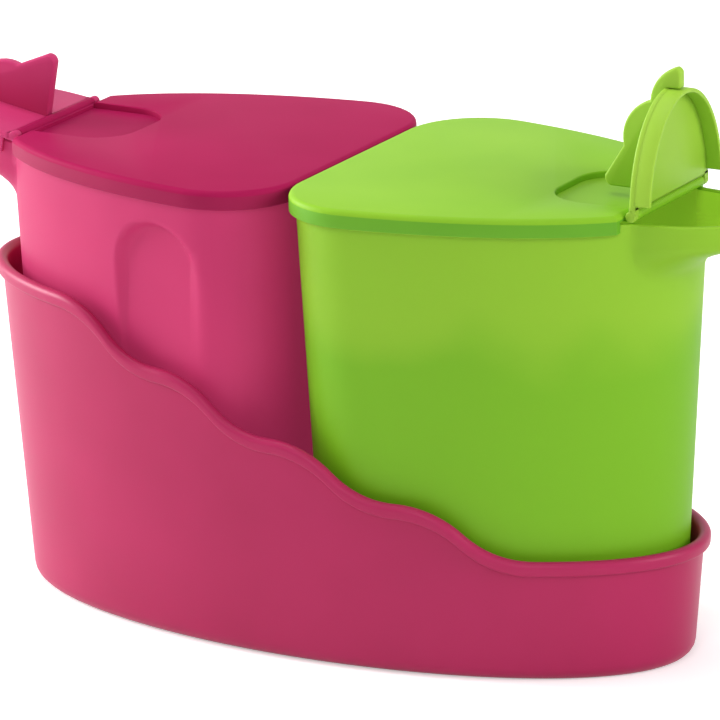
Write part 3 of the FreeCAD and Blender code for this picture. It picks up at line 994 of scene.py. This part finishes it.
@dataclass(frozen=True)
class Cap:
    """A half-oval flap over the spout, with a rib round its edge and a lifting fin above."""

    reach: float = 31.0
    half_width: float = 22.7
    plate: float = 1.8
    underside: float = 1.4
    setback: float = 1.6
    edge_radius: float = 0.5
    rib_depth: float = 4.4
    rib_wall: float = 1.2
    rib_setback: float = 3.2
    rib_inset: float = 0.1
    rib_edge: float = 0.3
    core_overshoot: float = 1.0
    ear_face: float = 20.3
    ear_width: float = 2.2
    ear_radius: float = 1.5
    ear_root: float = 1.0
    ear_bevel: float = 0.3
    fin_thickness: float = 3.2
    fin_back: float = 1.8
    fin_edge_radius: float = 0.7
    fin_tip_overhang: float = 6.0
    fin_tip_drop: float = 4.5
    fin_tip_chamfer: float = 1.2
    fin_tip_radius: float = 11.0
    fin_tip_length: float = 10.0
    fin_step_height: float = 4.6
    fin_lobe_radius: float = 11.4
    fin_valley_reach: float = 13.6
    fin_valley_height: float = 12.6
    fin_peak_reach: float = 4.8
    fin_peak_height: float = 18.2
    fin_peak_radius: float = 2.4
    fin_shoulder_height: float = 16.4
    sharp_deg: float = 40.0
    arc_steps: int = 10
    segments: int = 96

    def half_plate(self, mesh: bmesh.types.BMesh, reach: float, half_width: float, setback: float,
                   low: float, height: float) -> None:
        """Add a half-oval plate.

        Args:
            mesh: the mesh that takes it.
            reach: how far it reaches from the hinge.
            half_width: half its width.
            setback: where its straight side lies.
            low: height of its underside over the hinge.
            height: how thick it is.
        """
        place = Matrix.Translation((0, 0, low)) @ Matrix.Diagonal((reach, half_width, 1.0, 1.0))
        made = bmesh.ops.create_circle(mesh, cap_ends=True, segments=self.segments, radius=1.0, matrix=place)
        flat = {face for vert in made["verts"] for face in vert.link_faces}
        edges = {edge for face in flat for edge in face.edges}
        kept = bmesh.ops.bisect_plane(mesh, geom=[*made["verts"], *edges, *flat], plane_co=(setback, 0, 0),
                                      plane_no=(1, 0, 0), clear_inner=True)
        sheet = [item for item in kept["geom"] if isinstance(item, bmesh.types.BMFace)]
        grown = bmesh.ops.extrude_face_region(mesh, geom=sheet, use_keep_orig=True)["geom"]
        raised = [item for item in grown if isinstance(item, bmesh.types.BMVert)]
        bmesh.ops.translate(mesh, verts=raised, vec=(0, 0, height))

    def fin_outline(self) -> list[Point]:
        """Draw the fin's side view, with the hinge at the origin.

        Returns:
            The outline's points, reach first and height second.
        """
        root = -self.underside / 2
        tip = self.reach + self.fin_tip_overhang
        drop = -self.fin_tip_drop
        step = (tip - self.fin_tip_length, self.fin_step_height)
        valley = (self.fin_valley_reach, self.fin_valley_height)
        peak = (self.fin_peak_reach, self.fin_peak_height)
        shoulder = (self.fin_back, self.fin_shoulder_height)
        line = [(self.fin_back, root), (self.reach, root), (self.reach, drop)]
        line.append((tip - self.fin_tip_chamfer, drop))
        line += arc((tip, drop + self.fin_tip_chamfer), step, self.fin_tip_radius, self.arc_steps)
        line += arc(step, valley, self.fin_lobe_radius, self.arc_steps)[1:]
        return line + arc(peak, shoulder, self.fin_peak_radius, self.arc_steps)

    def rib(self) -> bmesh.types.BMesh:
        """Draw the rib round the plate's edge, let into the plate a little.

        Returns:
            The rib's mesh.
        """
        low = -self.underside - self.rib_depth
        reach, half_width = self.reach - self.rib_inset, self.half_width - self.rib_inset
        block, core = bmesh.new(), bmesh.new()
        self.half_plate(block, reach, half_width, self.rib_setback, low, self.rib_depth + self.plate / 4)
        over = self.core_overshoot
        self.half_plate(core, reach - self.rib_wall, half_width - self.rib_wall, 0.0, low - over,
                        self.rib_depth + 3 * over)
        return soften(carve(block, [core]), self.rib_edge)

    def fin(self) -> bmesh.types.BMesh:
        """Draw the lifting fin, an upright sheet with softened edges.

        Returns:
            The fin's mesh.
        """
        mesh = bmesh.new()
        line = [mesh.verts.new((x, -self.fin_thickness / 2, z)) for x, z in self.fin_outline()]
        sheet = mesh.faces.new(line)
        grown = bmesh.ops.extrude_face_region(mesh, geom=[sheet], use_keep_orig=True)["geom"]
        bmesh.ops.translate(mesh, verts=[item for item in grown if isinstance(item, bmesh.types.BMVert)],
                            vec=(0, self.fin_thickness, 0))
        return soften(mesh, self.fin_edge_radius)

    def build(self, opened_deg: float) -> bmesh.types.BMesh:
        """Draw the cap closed and turn it on its hinge.

        Args:
            opened_deg: how far it stands open.

        Returns:
            The cap in the right-hand place.
        """
        mesh = bmesh.new()
        self.half_plate(mesh, self.reach, self.half_width, self.setback, -self.underside, self.plate)
        soften(mesh, self.edge_radius)
        add_island(mesh, self.rib())
        add_island(mesh, self.fin())
        for start in (-self.ear_face - self.ear_width, self.ear_face):
            low = Vector((0, start, -self.underside))
            box_mesh(mesh, low, low + Vector((self.setback + self.ear_root, self.ear_width, self.plate)))
            rod_mesh(mesh, Vector((0, start - self.rib_inset, 0)), self.ear_width + 2 * self.rib_inset,
                     self.ear_radius, self.ear_bevel)
        opening = Matrix.Rotation(math.radians(opened_deg), 4, Vector((0, -1, 0)))
        place = Matrix.Translation((PLAN.hinge_reach, 0, PLAN.hinge_height)) @ opening
        bmesh.ops.transform(mesh, matrix=place, verts=mesh.verts)
        return mesh


def seen(tree: bpy.types.NodeTree) -> bpy.types.NodeSocket:
    """Tell what is seen, straight or in a reflection, from what only lights the object.

    Args:
        tree: the node tree that asks.

    Returns:
        The socket that is 1 for what is seen.
    """
    path = add_node(tree, "ShaderNodeLightPath").outputs
    mirrored = add_node(tree, "ShaderNodeMath", {
        0: path["Is Glossy Ray"], 1: path["Is Transmission Ray"]}, operation="MAXIMUM")
    return add_node(tree, "ShaderNodeMath", {
        0: path["Is Camera Ray"], 1: mirrored.outputs["Value"]}, operation="MAXIMUM").outputs["Value"]


@dataclass(frozen=True)
class Lamp:
    """A square soft lamp, in metres and watts."""

    name: str
    place: tuple[float, float, float]
    size: float
    power: float

    def build(self, aim: Vector) -> None:
        """Set up the lamp.

        Args:
            aim: the point that it faces, in metres.
        """
        light = bpy.data.lights.new(self.name, "AREA")
        light.size = self.size
        light.energy = self.power
        holder = bpy.data.objects.new(self.name, light)
        place = Vector(self.place)
        turn = (aim - place).to_track_quat("-Z", "Y").to_matrix().to_4x4()
        holder.matrix_world = Matrix.Translation(place) @ turn
        bpy.context.scene.collection.objects.link(holder)


@dataclass(frozen=True)
class Studio:
    """The pale floor, the soft lamps and the camera at the photograph's angle."""

    azimuth_deg: float = 28.946
    elevation_deg: float = 16.894
    roll_deg: float = -0.735
    distance_mm: float = 1891.8
    focal_pixels: float = 6754.2
    target_mm: tuple[float, float, float] = (0.0, 0.0, 66.55)
    target_pixel: Point = (356.67, 382.93)
    sensor_mm: float = 36.0
    floor_half_size: float = 6.0
    paper: str = "#F4F4F4"
    paper_lift: str = "#A8A8A8"
    white: str = "#FFFFFF"
    fill_strength: float = 0.3
    lamps: tuple[Lamp, ...] = (
        Lamp("left", (-1.7, -0.2, 0.6), 0.9, 44.0),
        Lamp("right", (1.8, 0.1, 0.8), 0.9, 20.0),
        Lamp("front", (0.6, -1.7, 1.25), 0.6, 10.0),
        Lamp("top", (-0.2, 0.0, 1.9), 1.0, 13.0))

    def camera(self) -> None:
        """Place the camera so that the target falls on its pixel."""
        lens = bpy.data.cameras.new("photo_camera")
        lens.sensor_width = self.sensor_mm
        lens.lens = self.focal_pixels / IMAGE_PIXELS * lens.sensor_width
        lens.shift_x = 0.5 - self.target_pixel[0] / IMAGE_PIXELS
        lens.shift_y = self.target_pixel[1] / IMAGE_PIXELS - 0.5
        lens.clip_start = 0.05
        lens.clip_end = 50.0
        azimuth, elevation = math.radians(self.azimuth_deg), math.radians(self.elevation_deg)
        back = Vector((math.sin(azimuth) * math.cos(elevation), -math.cos(azimuth) * math.cos(elevation),
                       math.sin(elevation)))
        right = Vector((math.cos(azimuth), math.sin(azimuth), 0.0))
        upward = back.cross(right)
        roll = math.radians(self.roll_deg)
        axes = (right * math.cos(roll) + upward * math.sin(roll),
                upward * math.cos(roll) - right * math.sin(roll), back)
        turn = Matrix(axes).transposed().to_4x4()
        holder = bpy.data.objects.new("photo_camera", lens)
        holder.matrix_world = Matrix.Translation(
            (Vector(self.target_mm) + back * self.distance_mm) * MM) @ turn
        bpy.context.scene.collection.objects.link(holder)
        bpy.context.scene.camera = holder

    def floor(self) -> None:
        """Lay a wide pale floor that looks white to the camera and keeps the object's shadow."""
        mesh = bmesh.new()
        bmesh.ops.create_grid(mesh, x_segments=1, y_segments=1, size=self.floor_half_size)
        ground = as_object(mesh, "floor")
        material = bpy.data.materials.new("pale_floor")
        material.use_nodes = True
        tree = material.node_tree
        tree.nodes.clear()
        paper = add_node(tree, "ShaderNodeBsdfDiffuse", {"Color": linear(self.paper)})
        # a lift in what is seen, so that the paper is white and the shadow on it stays faint
        lift = add_node(tree, "ShaderNodeEmission", {
            "Color": linear(self.paper_lift), "Strength": seen(tree)})
        both = add_node(tree, "ShaderNodeAddShader", {0: paper.outputs["BSDF"], 1: lift.outputs["Emission"]})
        add_node(tree, "ShaderNodeOutputMaterial", {"Surface": both.outputs["Shader"]})
        ground.data.materials.append(material)

    def world(self) -> None:
        """Surround the object with even light that the camera sees as white."""
        world = bpy.data.worlds.new("studio")
        world.use_nodes = True
        tree = world.node_tree
        tree.nodes.clear()
        fill = add_node(tree, "ShaderNodeBackground", {
            "Color": linear(self.white), "Strength": self.fill_strength})
        white = add_node(tree, "ShaderNodeBackground", {"Color": linear(self.white), "Strength": 1.0})
        mix = add_node(tree, "ShaderNodeMixShader", {
            0: seen(tree), 1: fill.outputs["Background"], 2: white.outputs["Background"]})
        add_node(tree, "ShaderNodeOutputWorld", {"Surface": mix.outputs["Shader"]})
        bpy.context.scene.world = world

    def build(self) -> None:
        """Set up the whole stage."""
        bpy.context.scene.view_settings.view_transform = "Standard"
        self.camera()
        self.floor()
        self.world()
        for lamp in self.lamps:
            lamp.build(Vector(self.target_mm) * MM)


def main() -> None:
    """Build every piece, dress it and set the stage."""
    logging.basicConfig(level=logging.INFO, format="%(name)s: %(message)s")
    covers = {Side.LEFT: [PINK_LID.material(), PINK_SKIRT_PAINTED_SHADE.material()],
              Side.RIGHT: [GREEN_LID.material(), GREEN_SKIRT_PAINTED_SHADE.material()]}
    flaps = {Side.LEFT: [PINK_CAP_PAINTED_LIGHT.material()], Side.RIGHT: [GREEN_CAP_PAINTED_LIGHT.material()]}
    walls = {Side.LEFT: [PINK_WALL_PAINTED_GLOW.material(), PINK_INSIDE_PAINTED_GLOW.material()],
             Side.RIGHT: [GREEN_WALL.material(), GREEN_INSIDE_PAINTED_GLOW.material()]}
    opened_deg = {Side.LEFT: 10.0, Side.RIGHT: 90.0}
    finish_piece(Cradle().build(), "cradle", [PINK.material()], Cradle.sharp_deg)
    for side in Side:
        pieces = {
            "container": (Container().build(), walls[side], Container.sharp_deg),
            "lid": (Lid().build(), covers[side], Lid.sharp_deg),
            "cap": (Cap().build(opened_deg[side]), flaps[side], Cap.sharp_deg)}
        for kind, (mesh, dress, sharp_deg) in pieces.items():
            bmesh.ops.transform(mesh, matrix=side.turn, verts=mesh.verts)
            finish_piece(mesh, f"{side.value}_{kind}", dress, sharp_deg)
    Studio().build()


if __name__ == "__main__":
    main()
